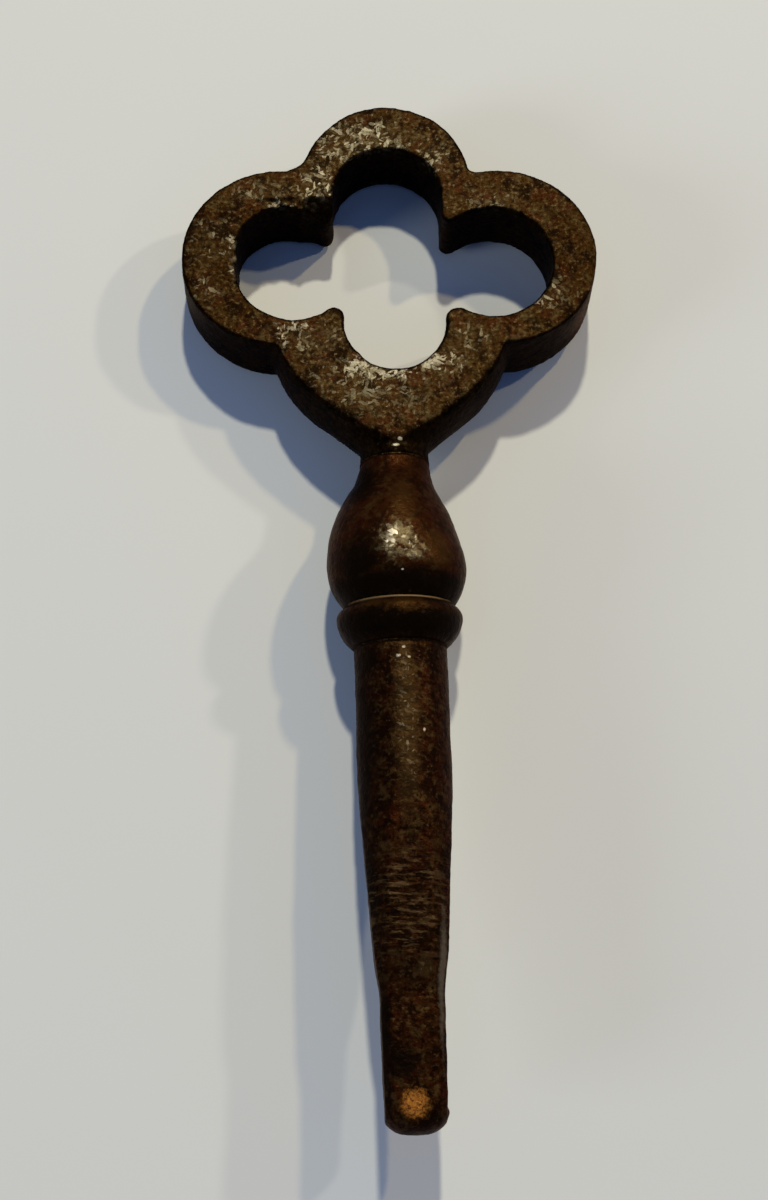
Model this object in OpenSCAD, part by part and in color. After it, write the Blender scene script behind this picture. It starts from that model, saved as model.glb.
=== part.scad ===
// Iron clock key, built up from a pierced bow, a turned baluster and collar,
// and a shank filed down to a tapering square. A hidden core pin carries the
// pieces in line, and thin rings of brazing metal close the seams between them.
//
// The key lies along +Y with its bow flat in the XY plane, and +Z is up.
// The origin is the middle of the tip of the square end.

/* [Bow] */
// Width of the bow across its side lobes
bow_width = 30.2; // [29.4:0.1:32]
// Thickness of the bow plate
bow_thickness = 5.2; // [4:0.1:7]
// Bevel along the edges of the bow plate
bow_bevel = 0.35; // [0.1:0.05:0.5]
// Outer radius of each side lobe
side_lobe_r = 7.1; // [6.8:0.05:8.5]
// Outer radius of the top lobe
top_lobe_r = 6.1; // [5.8:0.1:7.5]
// From the middle of the bow to the middle of the top lobe
top_lobe_out = 6.45; // [5.7:0.05:7]
// Outer radius of the foot lobe
foot_lobe_r = 8.45; // [8:0.05:8.7]
// From the middle of the bow to the middle of the foot lobe
foot_lobe_out = 4.5; // [4.2:0.05:5]
// How far the turned foot swells past the wall of the foot lobe
foot_swell = 0.4; // [0.1:0.05:0.6]
// Hollow radius where the turned foot leaves the neck
foot_hollow_r = 0.9; // [0.5:0.1:1.5]
// Straight neck between the seam and that hollow
foot_neck = 0.7; // [0.4:0.05:1]
// Length of the flank between that hollow and the ball of the foot
foot_cone = 4.24; // [3.4:0.02:5.2]

/* [Bow opening] */
// Radius of the opening in each side lobe
side_eye_r = 4.3; // [4:0.05:4.7]
// Width of the rim at the far side of each side opening
side_rim = 3.6; // [3.2:0.1:4]
// How far the side openings sit below the middle of the bow
side_eye_drop = 0.55; // [0:0.05:0.8]
// Radius of the opening in the top lobe
top_eye_r = 3.85; // [3.4:0.05:4.1]
// Width of the rim above the top opening
top_rim = 3.7; // [3.2:0.05:4]
// Radius of the opening in the foot lobe
foot_eye_r = 3.65; // [3.2:0.05:3.9]
// From the middle of the bow to the middle of the foot opening
foot_eye_out = 5.2; // [4.9:0.05:5.6]
// Radius of the round noses on the cusps
cusp_nose_r = 0.7; // [0.5:0.05:0.85]
// How far a nose stands proud of the walls that it joins
cusp_nose_proud = 0.04; // [0.02:0.01:0.1]

/* [Baluster] */
// Length of the baluster
baluster_length = 10.55; // [9:0.05:13]
// Radius at the neck, under the bow
neck_r = 2.45; // [2.2:0.05:3]
// Largest radius of the belly
belly_r = 4.8; // [4.4:0.05:5.5]
// Height of the widest place above the collar
belly_height = 3.05; // [2:0.05:3.5]
// Radius of the joint face between baluster and collar
belly_foot_r = 3.8; // [3.5:0.05:4.1]
// Radius of the long curve from the belly towards the neck
belly_curve_r = 9.5; // [7:0.1:10]

/* [Collar] */
// Length of the collar
collar_length = 2.75; // [2.4:0.05:4.5]
// Largest radius of the collar
collar_r = 4.35; // [4.25:0.05:5.5]
// Height of the widest place above the shank
collar_crest = 2.05; // [1.6:0.05:2.4]
// How far the collar stands out past the shank at their joint
collar_step = 0.1; // [0.05:0.05:0.3]

/* [Shank] */
// Length of the shank, from the tip to the collar
shank_length = 32.2; // [29:0.1:40]
// Radius of the round shank
shank_r = 3.2; // [3.05:0.05:3.5]
// Place where the rounded corners start to narrow, from the tip
corner_start = 20; // [16:0.5:22]
// Place where the filed flats run out, from the tip
flat_end = 22.8; // [20:0.2:24]

/* [Square end] */
// Width across the flats at the tip
square_width = 4; // [3.4:0.05:4.2]
// Length of the square end, up to its shoulder
square_length = 8.9; // [6:0.1:10]
// How far each flat spreads from the tip to the shoulder
square_draft = 0.1; // [0.02:0.02:0.2]
// Length of the sloping shoulder behind the square
shoulder_length = 2.5; // [1.5:0.1:4]
// Half width across the flats at the top of the shoulder
shoulder_half = 2.45; // [2.3:0.05:2.6]
// How far the rounded corners stand out past the flats
corner_stand = 0.45; // [0.3:0.05:0.55]
// Rounding of the tip
tip_round_r = 2; // [1:0.1:2.1]

/* [Core pin and brazing] */
// Radius of the core pin
pin_r = 1.25; // [1:0.05:1.4]
// Film of brazing metal around the core pin
braze_film = 0.05; // [0.03:0.01:0.1]
// Thickness of the brazing rings in the seams
braze_thickness = 0.12; // [0.08:0.02:0.3]
// How far a brazing ring stands proud of its seam
braze_proud = 0.05; // [0.02:0.01:0.1]
// Depth of the pin's socket in the shank
shank_socket = 8; // [5:0.5:9]
// Depth of the pin's socket in the bow
bow_socket = 3.8; // [2.5:0.1:4.4]
// Room left at each end of the pin
pin_end_room = 0.3; // [0.1:0.1:0.6]

/* [Hidden] */
$fn = 96;
// How far a cut runs past the face that it opens
past = 1;
// How deep a curve bites into the next one, so that the two cross cleanly
bite = 0.03;

worn_iron = [0.36, 0.29, 0.21];
turned_iron = [0.29, 0.2, 0.14];
filed_iron = [0.31, 0.23, 0.17];
spelter = [0.72, 0.55, 0.3];
drawn_steel = [0.5, 0.5, 0.5];

// The turned foot runs from a short neck and a hollow, up a cone, and round a ball.
// The cone leaves the hollow and joins the ball along a tangent of their two circles,
// and its length sets how far the bow stands above the neck.
ball_r = foot_lobe_r + foot_swell;
radii = ball_r + foot_hollow_r;
hollow_centre = [neck_r + foot_hollow_r - bite, foot_neck];
centres_apart = norm([radii, foot_cone]);
ball_centre = [0, foot_neck + sqrt(pow(centres_apart, 2) - pow(hollow_centre.x, 2))];
centre_line = hollow_centre - ball_centre;
cone_lean = atan2(centre_line.y, centre_line.x) + atan2(foot_cone, radii);
cone_normal = [cos(cone_lean), sin(cone_lean)];
cone_foot = hollow_centre - (foot_hollow_r - bite) * cone_normal;
cone_top = ball_centre + (ball_r - bite) * cone_normal;
bow_stand = ball_centre.y + foot_lobe_out;

// Places along the key, each stacked on the piece below it
collar_y = shank_length + braze_thickness;
upper_seam_y = collar_y + collar_length;
baluster_y = upper_seam_y + braze_thickness;
neck_seam_y = baluster_y + baluster_length;
bow_seat_y = neck_seam_y + braze_thickness;
bow_middle_y = bow_seat_y + bow_stand;

bow_half = bow_thickness / 2;
bore_r = pin_r + braze_film;
collar_foot_r = shank_r + collar_step;

// The side lobes reach the bow's full width, and the rims set the openings inside the lobes
side_lobe_out = bow_width / 2 - side_lobe_r;
side_eye_out = bow_width / 2 - side_rim - side_eye_r;
top_eye_out = top_lobe_out + top_lobe_r - top_rim - top_eye_r;

// Each cusp's nose touches the wall of its top or foot opening and that of the side opening
top_nose = cusp_nose(top_eye_r, 1);
foot_nose = cusp_nose(foot_eye_r, -1);

// The belly's curve runs into the neck's hollow where their two circles meet
neck_rise = baluster_length - belly_height;
neck_drop = belly_r - neck_r;
curves_apart = (pow(neck_drop, 2) + pow(neck_rise, 2)) / (2 * neck_drop);
neck_curve_r = curves_apart - belly_curve_r + bite * curves_apart / neck_drop;
belly_centre = [belly_r - belly_curve_r, belly_height];
neck_centre = [neck_r + neck_curve_r, baluster_length];
curve_join = belly_centre + (neck_centre - belly_centre) * belly_curve_r / curves_apart;

square_half = square_width / 2;
root_half = square_half + square_draft;
shoulder_y = square_length + shoulder_length;
tip_corner_r = square_half + corner_stand;
flat_slope = (shank_r - shoulder_half) / (flat_end - shoulder_y);

pin_y = shank_length - shank_socket + pin_end_room;
pin_top_y = bow_seat_y + bow_socket - pin_end_room;

// Middle of a cusp's nose, beside a wall at wall_x and above or below the side opening
function cusp_nose(wall_x, way) =
    let (
        x = wall_x + cusp_nose_r,
        reach = side_eye_r + cusp_nose_r,
        rise = sqrt(pow(reach, 2) - pow(side_eye_out - x, 2))
    )
    [x, way * rise - side_eye_drop];

// Shared shapes. Turned pieces are half profiles, with radius across and length up.

module turned(y)
    translate([0, y, 0])
        rotate([-90, 0, 0])
            rotate_extrude()
                children();

// Rounded flank that swells from foot_r up to crest_r
module flank(foot_r, crest_r, height) {
    drop = crest_r - foot_r;
    arc_r = (pow(drop, 2) + pow(height, 2)) / (2 * drop);
    square([foot_r, height]);
    intersection() {
        square([crest_r, height]);
        translate([crest_r - arc_r, height]) circle(arc_r);
    }
}

// Bore for the core pin, as a half profile
module bore(from, to)
    translate([0, from])
        square([bore_r, to - from]);

// Flat ring of brazing metal around the core pin
module braze_ring(y, r)
    color(spelter)
        turned(y)
            translate([bore_r, 0])
                square([r + braze_proud - bore_r, braze_thickness]);

module both_sides()
    for (side = [0, 1])
        mirror([side, 0, 0])
            children();

// Round lobe of the bow plate, with both rims bevelled
module lobe(r)
    rotate_extrude()
        polygon([
            [0, -bow_half],
            [r - bow_bevel, -bow_half],
            [r, bow_bevel - bow_half],
            [r, bow_half - bow_bevel],
            [r - bow_bevel, bow_half],
            [0, bow_half]
        ]);

// Round opening through the bow plate, with both mouths bevelled
module eye(r) {
    mouth_r = r + bow_bevel + past;
    mouth_z = bow_half + past;
    rotate_extrude()
        polygon([
            [0, -mouth_z],
            [mouth_r, -mouth_z],
            [r, bow_bevel - bow_half],
            [r, bow_half - bow_bevel],
            [mouth_r, mouth_z],
            [0, mouth_z]
        ]);
}

// Outer lobes of the quatrefoil, about the middle of the bow
module lobes() {
    both_sides()
        translate([side_lobe_out, 0, 0]) lobe(side_lobe_r);
    translate([0, top_lobe_out, 0]) lobe(top_lobe_r);
    translate([0, -foot_lobe_out, 0]) lobe(foot_lobe_r);
}

// Four round openings joined through the middle, which leaves the cusps standing
module cusped_opening() {
    both_sides()
        translate([side_eye_out, -side_eye_drop, 0]) eye(side_eye_r);
    translate([0, top_eye_out, 0]) eye(top_eye_r);
    translate([0, -foot_eye_out, 0]) eye(foot_eye_r);
    translate([0, 0, -bow_half - past])
        linear_extrude(bow_thickness + 2 * past)
            polygon([
                [-top_eye_r, top_eye_out],
                [top_eye_r, top_eye_out],
                [top_eye_r, top_nose.y],
                top_nose,
                [side_eye_out, -side_eye_drop],
                foot_nose,
                [foot_eye_r, foot_nose.y],
                [foot_eye_r, -foot_eye_out],
                [-foot_eye_r, -foot_eye_out],
                [-foot_eye_r, foot_nose.y],
                [-foot_nose.x, foot_nose.y],
                [-side_eye_out, -side_eye_drop],
                [-top_nose.x, top_nose.y],
                [-top_eye_r, top_nose.y]
            ]);
}

// Round noses that end the cusps
module cusp_noses()
    both_sides()
        for (nose = [top_nose, foot_nose])
            translate(nose) lobe(cusp_nose_r + cusp_nose_proud);

// Half profile of the turned foot
module foot_profile() {
    difference() {
        polygon([
            [0, 0],
            [neck_r, 0],
            [neck_r, foot_neck],
            hollow_centre,
            cone_foot,
            cone_top,
            [0, cone_top.y]
        ]);
        translate(hollow_centre) circle(foot_hollow_r);
    }
    intersection() {
        square([ball_r, ball_centre.y]);
        translate(ball_centre) circle(ball_r);
    }
}

// Turned foot of the bow, cut flat by the faces of the plate
module foot()
    intersection() {
        turned(bow_seat_y) foot_profile();
        translate([-ball_r - past, bow_seat_y - past, -bow_half])
            cube([2 * (ball_r + past), ball_centre.y + 2 * past, bow_thickness]);
    }

// One filed flat of the shank, as the metal to take away
module filed_flat()
    rotate([90, 0, 90])
        translate([0, 0, -shank_r - past])
            linear_extrude(2 * (shank_r + past))
                polygon([
                    [-past, square_half],
                    [0, square_half],
                    [square_length, root_half],
                    [shoulder_y, shoulder_half],
                    [flat_end + past, shank_r + flat_slope * past],
                    [flat_end + past, shank_r + past],
                    [-past, shank_r + past]
                ]);

// Round bar that the flats are filed on, with its domed tip
module shank_profile() {
    dome_x = tip_corner_r - tip_round_r;
    square([dome_x, tip_round_r]);
    intersection() {
        square([tip_corner_r, tip_round_r]);
        translate([dome_x, tip_round_r]) circle(tip_round_r);
    }
    polygon([
        [0, tip_round_r],
        [tip_corner_r, tip_round_r],
        [root_half + corner_stand, square_length],
        [shoulder_half + corner_stand, shoulder_y],
        [shank_r, corner_start],
        [shank_r, shank_length],
        [0, shank_length]
    ]);
}

// The pieces

// Quatrefoil bow plate with its cusped opening and turned foot
module bow()
    color(worn_iron)
        difference() {
            translate([0, bow_middle_y, 0]) {
                difference() {
                    union() {
                        lobes();
                        translate([0, -bow_middle_y, 0]) foot();
                    }
                    cusped_opening();
                }
                cusp_noses();
            }
            turned(bow_seat_y) bore(-past, bow_socket);
        }

// Ring in the seam between baluster and bow
module neck_braze()
    braze_ring(neck_seam_y, neck_r);

// Pear-shaped sleeve between collar and bow
module baluster()
    color(turned_iron)
        turned(baluster_y)
            difference() {
                union() {
                    flank(belly_foot_r, belly_r, belly_height);
                    translate([0, belly_height]) square([curve_join.x, neck_rise]);
                    intersection() {
                        translate([0, belly_height]) square([belly_r, neck_rise]);
                        translate(belly_centre) circle(belly_curve_r);
                    }
                }
                translate(neck_centre) circle(neck_curve_r);
                bore(-past, baluster_length + past);
            }

// Ring in the groove between collar and baluster
module upper_collar_braze()
    braze_ring(upper_seam_y, belly_foot_r);

// Rounded bead between shank and baluster
module collar()
    color(turned_iron)
        turned(collar_y)
            difference() {
                union() {
                    flank(collar_foot_r, collar_r, collar_crest);
                    translate([0, collar_length])
                        mirror([0, 1])
                            flank(belly_foot_r, collar_r, collar_length - collar_crest);
                }
                bore(-past, collar_length + past);
            }

// Ring in the seam between shank and collar
module lower_collar_braze()
    braze_ring(shank_length, shank_r);

// Round shank filed to a tapering square, with a socket for the core pin
module shank()
    color(filed_iron)
        difference() {
            turned(0) shank_profile();
            for (turn = [0:90:270])
                rotate([0, turn, 0]) filed_flat();
            turned(shank_length) bore(-shank_socket, past);
        }

// Plain rod through collar and baluster, with its ends in the shank and the bow
module core_pin()
    color(drawn_steel)
        turned(pin_y)
            square([pin_r, pin_top_y - pin_y]);

bow();
neck_braze();
baluster();
upper_collar_braze();
collar();
lower_collar_braze();
shank();
core_pin();
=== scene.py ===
import math

import bpy
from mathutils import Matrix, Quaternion, Vector


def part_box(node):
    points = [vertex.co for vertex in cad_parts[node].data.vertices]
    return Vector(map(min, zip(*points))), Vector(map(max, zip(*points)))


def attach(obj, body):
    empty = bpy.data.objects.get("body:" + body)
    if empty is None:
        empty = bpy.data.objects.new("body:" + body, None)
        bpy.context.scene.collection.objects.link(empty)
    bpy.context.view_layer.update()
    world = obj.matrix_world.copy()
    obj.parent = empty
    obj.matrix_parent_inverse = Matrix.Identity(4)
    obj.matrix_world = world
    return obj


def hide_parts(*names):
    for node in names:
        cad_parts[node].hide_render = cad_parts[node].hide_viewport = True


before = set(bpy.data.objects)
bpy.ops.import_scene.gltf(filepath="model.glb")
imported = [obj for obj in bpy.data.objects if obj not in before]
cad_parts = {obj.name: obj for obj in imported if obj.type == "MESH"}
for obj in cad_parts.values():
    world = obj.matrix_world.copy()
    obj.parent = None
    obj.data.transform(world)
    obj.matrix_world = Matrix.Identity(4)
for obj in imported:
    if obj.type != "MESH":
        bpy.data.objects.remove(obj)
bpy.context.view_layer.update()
mm = 0.001  # every size below is in millimetres
weld = 0.001 * mm  # points closer than this are one point
discSteps = 256
turnSteps = 240
cutSteps = 192  # for what is remeshed later
filletSteps = 12
print("frame loaded:", ", ".join(sorted(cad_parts)))


# Small tools for modelling

def deselectAll():
    if bpy.context.object and bpy.context.object.mode != "OBJECT":
        bpy.ops.object.mode_set(mode="OBJECT")
    bpy.ops.object.select_all(action="DESELECT")


def pick(piece):  # makes it the one selected object
    deselectAll()
    piece.select_set(True)
    bpy.context.view_layer.objects.active = piece


def applyModifier(piece, kind, **settings):
    pick(piece)
    made = piece.modifiers.new(kind.lower(), kind)
    for name, value in settings.items():
        setattr(made, name, value)
    bpy.ops.object.modifier_apply(modifier=made.name)


def arc(centre, radius, start, end, steps):  # points on a circle, angles in degrees
    turns = [math.radians(start + (end - start) * i / steps) for i in range(steps + 1)]
    return [(centre[0] + radius * math.cos(t), centre[1] + radius * math.sin(t)) for t in turns]


def drawOutline(name, points):  # extrudes one point along the outline and back, and stays in edit mode
    deselectAll()
    points = [Vector(p) * mm for p in points]
    bpy.ops.mesh.primitive_plane_add(size=mm, location=points[0])
    bpy.ops.object.transform_apply(location=True, rotation=False, scale=False)
    piece = bpy.context.object
    piece.name = name
    bpy.ops.object.mode_set(mode="EDIT")
    bpy.ops.mesh.merge(type="CENTER")
    for here, there in zip(points, points[1:] + points[:1]):
        bpy.ops.mesh.extrude_vertices_move(TRANSFORM_OT_translate={"value": there - here})
    bpy.ops.mesh.select_all(action="SELECT")
    bpy.ops.mesh.remove_doubles(threshold=weld)
    return piece


def lathe(name, outline, baseY, steps):  # outline of (radius, height) points, spun round the key's axis
    piece = drawOutline(name, [(r, baseY + y, 0) for r, y in outline])
    bpy.ops.mesh.spin(steps=steps, angle=math.tau, center=(0, 0, 0), axis=(0, 1, 0))
    bpy.ops.mesh.select_all(action="SELECT")
    bpy.ops.mesh.remove_doubles(threshold=weld)
    bpy.ops.mesh.normals_make_consistent(inside=False)
    bpy.ops.object.mode_set(mode="OBJECT")
    return piece


def prism(name, points, depth):  # filled outline, drawn out along a vector
    piece = drawOutline(name, points)
    bpy.ops.mesh.edge_face_add()
    bpy.ops.mesh.extrude_region_move(TRANSFORM_OT_translate={"value": Vector(depth) * mm})
    bpy.ops.mesh.select_all(action="SELECT")
    bpy.ops.mesh.normals_make_consistent(inside=False)
    bpy.ops.object.mode_set(mode="OBJECT")
    return piece


def disc(name, x, y, radius, thickness):  # round plate in the plane of the bow
    deselectAll()
    bpy.ops.mesh.primitive_cylinder_add(
        vertices=discSteps, radius=radius * mm, depth=thickness * mm, location=Vector((x, y, 0)) * mm
    )
    bpy.ops.object.transform_apply(location=True, rotation=False, scale=False)
    bpy.context.object.name = name
    return bpy.context.object


def combine(piece, tool, operation, keepTool=False):
    applyModifier(piece, "BOOLEAN", object=tool, operation=operation, solver="EXACT")
    if not keepTool:
        bpy.data.objects.remove(tool)


def cloudTexture(name, size, depth):
    made = bpy.data.textures.new(name, "CLOUDS")
    made.noise_scale = size * mm
    made.noise_depth = depth
    return made


def roughen(piece, name, relief):  # pushes the skin in and out by a cloud of noise
    size, depth, height = relief
    applyModifier(
        piece, "DISPLACE", texture=cloudTexture(name, size, depth),
        texture_coords="LOCAL", strength=height * mm, mid_level=0.6,
    )


def weighPlaces(piece, name, weigh):  # vertex group, weighed by place in millimetres
    group = piece.vertex_groups.new(name=name)
    for point in piece.data.vertices:
        weight = weigh(point.co / mm)
        if weight > 0.01:
            group.add([point.index], weight, "REPLACE")


def wearDown(piece, rounds, **settings):  # smooths the edges round
    applyModifier(piece, "SMOOTH", factor=0.5, iterations=rounds, **settings)


def softenPlaces(piece, name, rounds, weigh):  # wears the weighed places
    weighPlaces(piece, name, weigh)
    wearDown(piece, rounds, vertex_group=name)
    piece.vertex_groups.clear()


def pushPlaces(piece, name, axis, far, weigh):  # moves the weighed places along an axis
    weighPlaces(piece, name, weigh)
    applyModifier(piece, "DISPLACE", direction=axis, strength=far * mm, mid_level=0.0, vertex_group=name)
    piece.vertex_groups.clear()


def chipPlaces(piece, name, size, depth, weigh):  # breaks uneven chips out of the weighed places
    weighPlaces(piece, name, weigh)
    applyModifier(
        piece, "DISPLACE", texture=cloudTexture(name, size, 2), texture_coords="LOCAL",
        strength=depth * mm, mid_level=0.85, vertex_group=name,
    )
    piece.vertex_groups.clear()


def fade(value, span):  # 0 at the span's start, 1 at its end, soft between
    low, high = span
    share = min(max((value - low) / (high - low), 0), 1)
    return share * share * (3 - 2 * share)


def finishPiece(piece, node, material):
    pick(piece)
    bpy.ops.object.shade_smooth()
    piece.data.materials.clear()
    piece.data.materials.append(material)
    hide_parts(node)
    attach(piece, "root")
    print(node, "dressed:", len(piece.data.polygons), "faces")


# Small tools for materials

def feed(tree, socket, value):  # links a socket, or sets a plain value
    if isinstance(value, bpy.types.NodeSocket):
        tree.links.new(value, socket)
    else:
        socket.default_value = value


def addNode(tree, kind, inputs, **settings):
    made = tree.nodes.new("ShaderNode" + kind)
    for name, value in settings.items():
        setattr(made, name, value)
    for name, value in inputs.items():
        feed(tree, made.inputs[name], value)
    return made


def calc(tree, operation, first, second=0.0):
    return addNode(tree, "Math", {0: first, 1: second}, operation=operation).outputs[0]


def times(tree, first, second):
    return calc(tree, "MULTIPLY", first, second)


def vectorCalc(tree, operation, first, second):
    return addNode(tree, "VectorMath", {0: first, 1: second}, operation=operation).outputs[0]


def ramp(tree, value, low, high, lowOut=0.0, highOut=1.0):  # soft step from low to high
    made = addNode(
        tree, "MapRange",
        {"Value": value, "From Min": low, "From Max": high, "To Min": lowOut, "To Max": highOut},
        interpolation_type="SMOOTHSTEP",
    )
    return made.outputs[0]


def tint(tree, share, under, over, how="MIX"):
    made = addNode(tree, "Mix", {0: share, 6: under, 7: over}, data_type="RGBA", blend_type=how)
    return made.outputs[2]


def noise(tree, place, scale, detail=3.0, roughness=0.55):
    inputs = {"Vector": place, "Scale": scale, "Detail": detail, "Roughness": roughness}
    return addNode(tree, "TexNoise", inputs).outputs


def largest(tree, masks):
    whole = masks[0]
    for mask in masks[1:]:
        whole = calc(tree, "MAXIMUM", whole, mask)
    return whole


def startGroup(name, inputs, outputs):
    group = bpy.data.node_groups.new(name, "ShaderNodeTree")
    for label, kind, value in inputs:
        socket = group.interface.new_socket(label, in_out="INPUT", socket_type="NodeSocket" + kind)
        socket.default_value = value
    for label, kind in outputs:
        group.interface.new_socket(label, in_out="OUTPUT", socket_type="NodeSocket" + kind)
    return group, group.nodes.new("NodeGroupInput").outputs, group.nodes.new("NodeGroupOutput").inputs


def useGroup(tree, group, **inputs):
    made = tree.nodes.new("ShaderNodeGroup")
    made.node_tree = group
    for name, value in inputs.items():
        feed(tree, made.inputs[name], value)
    return made.outputs


def rgb(red, green, blue):
    return (red, green, blue, 1.0)


# Finishes that the irons share

def makeMottling():  # patches of warm, dull and deep patina over the main colour, and light grains
    group, given, out = startGroup(
        "mottledPatina",
        [("Place", "Vector", (0, 0, 0)), ("Size", "Float", 2.0), ("Main", "Color", rgb(0.04, 0.02, 0.006)),
         ("Warm", "Color", rgb(0.04, 0.013, 0.004)), ("Dull", "Color", rgb(0.06, 0.04, 0.018)),
         ("Deep", "Color", rgb(0.01, 0.005, 0.002)), ("Light", "Color", rgb(0.09, 0.07, 0.035)),
         ("Grain", "Float", 1.0)],
        [("Color", "Color"), ("Tone", "Float")],
    )
    scale = calc(group, "DIVIDE", 1.0, given["Size"])
    broad = noise(group, given["Place"], scale, 3.0, 0.6)[0]
    shifted = vectorCalc(group, "ADD", given["Place"], (31.0, 17.0, 5.0))
    middle = noise(group, shifted, times(group, scale, 2.6), 4.0, 0.65)[0]
    fine = noise(group, given["Place"], times(group, scale, 6.0), 3.0, 0.6)[0]
    away = vectorCalc(group, "ADD", given["Place"], (7.0, 53.0, 19.0))
    blotch = noise(group, away, times(group, scale, 1.7), 4.0, 0.6)[0]
    colour = tint(group, ramp(group, broad, 0.46, 0.62), given["Main"], given["Warm"])
    colour = tint(group, ramp(group, middle, 0.48, 0.66), colour, given["Dull"])
    dark = times(group, ramp(group, fine, 0.50, 0.34), given["Grain"])
    colour = tint(group, dark, colour, given["Deep"])
    colour = tint(group, ramp(group, blotch, 0.54, 0.39, 0.0, 0.92), colour, given["Deep"])
    bright = times(group, ramp(group, fine, 0.55, 0.70), given["Grain"])
    colour = tint(group, bright, colour, given["Light"])
    group.links.new(colour, out["Color"])
    group.links.new(fine, out["Tone"])
    return group


def makeFlakes():  # angular flakes of three sizes, dim to bright, where the patina is rubbed through, and painted glints
    group, given, out = startGroup(
        "rubbedGlintFlakes",
        [("Place", "Vector", (0, 0, 0)), ("Size", "Float", 0.3), ("Amount", "Float", 0.3)],
        [("Mask", "Float"), ("Shade", "Float")],
    )
    scale = calc(group, "DIVIDE", 1.0, given["Size"])
    wobble = noise(group, given["Place"], times(group, scale, 1.1), 3.0)[1]
    wobble = vectorCalc(group, "SUBTRACT", wobble, (0.5, 0.5, 0.5))
    reach = times(group, given["Size"], 0.6)
    wobble = addNode(group, "VectorMath", {0: wobble, "Scale": reach}, operation="SCALE").outputs[0]
    bent = vectorCalc(group, "ADD", given["Place"], wobble)
    gate = calc(group, "SUBTRACT", 1.0, times(group, given["Amount"], 0.6))
    masks, shades = [], []
    layers = [(0.5, (0.55, 1.35, 0.9), 0.0), (1.7, (0.75, 1.8, 1.2), 40.0), (2.7, (1.1, 2.2, 1.6), 80.0)]
    for turn, stretch, offset in layers:
        turned = addNode(
            group, "VectorRotate", {"Vector": bent, "Angle": turn}, rotation_type="Z_AXIS"
        ).outputs[0]
        turned = vectorCalc(group, "MULTIPLY_ADD", turned, stretch)
        turned.node.inputs[2].default_value = (offset, offset, offset)
        inputs = {"Vector": turned, "Scale": scale}
        cells = addNode(group, "TexVoronoi", inputs).outputs
        rim = addNode(group, "TexVoronoi", inputs, feature="DISTANCE_TO_EDGE").outputs
        draw = addNode(group, "SeparateColor", {0: cells["Color"]}).outputs
        chosen = ramp(group, draw[0], gate, calc(group, "ADD", gate, 0.3))
        masks.append(times(group, chosen, ramp(group, rim[0], 0.0, 0.09)))
        shades.append(times(group, masks[-1], draw[1]))
    group.links.new(largest(group, masks), out["Mask"])
    group.links.new(largest(group, shades), out["Shade"])
    return group


def makeSpot():  # round patch, strongest at its centre, with an edge that Ragged breaks up
    group, given, out = startGroup(
        "wornSpot",
        [("Place", "Vector", (0, 0, 0)), ("Centre", "Vector", (0, 0, 0)), ("Reach", "Vector", (1, 1, 1)),
         ("Ragged", "Float", 0.0)],
        [("Mask", "Float")],
    )
    away = vectorCalc(group, "SUBTRACT", given["Place"], given["Centre"])
    away = vectorCalc(group, "DIVIDE", away, given["Reach"])
    away = addNode(group, "VectorMath", {0: away}, operation="LENGTH").outputs["Value"]
    group.links.new(ramp(group, calc(group, "ADD", away, given["Ragged"]), 1.0, 0.35), out["Mask"])
    return group


def makeSkin():  # fine relief of old iron, with pits
    group, given, out = startGroup(
        "ironSkin",
        [("Place", "Vector", (0, 0, 0)), ("Size", "Float", 0.3)],
        [("Height", "Float")],
    )
    scale = calc(group, "DIVIDE", 1.0, given["Size"])
    grain = noise(group, given["Place"], scale, 5.0, 0.6)[0]
    coarse = times(group, scale, 0.7)
    pits = addNode(group, "TexVoronoi", {"Vector": given["Place"], "Scale": coarse}).outputs
    pits = ramp(group, pits["Distance"], 0.0, 0.35)
    group.links.new(calc(group, "ADD", grain, times(group, pits, 0.35)), out["Height"])
    return group


def makeEdgeWear():  # bare rubbed ridges, broken up by noise
    group, given, out = startGroup(
        "edgeWear",
        [("Place", "Vector", (0, 0, 0)), ("Low", "Float", 0.51), ("High", "Float", 0.54)],
        [("Mask", "Float")],
    )
    ridge = group.nodes.new("ShaderNodeNewGeometry").outputs["Pointiness"]
    ridge = ramp(group, ridge, given["Low"], given["High"])
    broken = ramp(group, noise(group, given["Place"], 1.6, 3.0)[0], 0.4, 0.6)
    group.links.new(times(group, ridge, broken), out["Mask"])
    return group


def makeFileMarks():  # strokes of the file, long across the key and close along it
    group, given, out = startGroup(
        "fileMarks",
        [("Place", "Vector", (0, 0, 0)), ("Stretch", "Vector", (0.75, 3.6, 0.75)), ("Lean", "Float", 0.07)],
        [("Height", "Float"), ("Mask", "Float")],
    )
    turned = addNode(
        group, "VectorRotate", {"Vector": given["Place"], "Angle": given["Lean"]}, rotation_type="Z_AXIS"
    ).outputs[0]
    strokes = noise(group, vectorCalc(group, "MULTIPLY", turned, given["Stretch"]), 1.0, 3.0, 0.6)[0]
    group.links.new(strokes, out["Height"])
    group.links.new(ramp(group, strokes, 0.51, 0.64), out["Mask"])
    return group


mottling = makeMottling()
flakes = makeFlakes()
spot = makeSpot()
skin = makeSkin()
edgeWear = makeEdgeWear()
fileMarks = makeFileMarks()
print("finishes ready")


def startMaterial(name):
    material = bpy.data.materials.new(name)
    material.use_nodes = True
    tree = material.node_tree
    shader = tree.nodes["Principled BSDF"]
    coords = tree.nodes.new("ShaderNodeTexCoord").outputs
    place = addNode(tree, "VectorMath", {0: coords["Object"], "Scale": 1 / mm}, operation="SCALE")
    return material, tree, shader, place.outputs[0]


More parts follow.
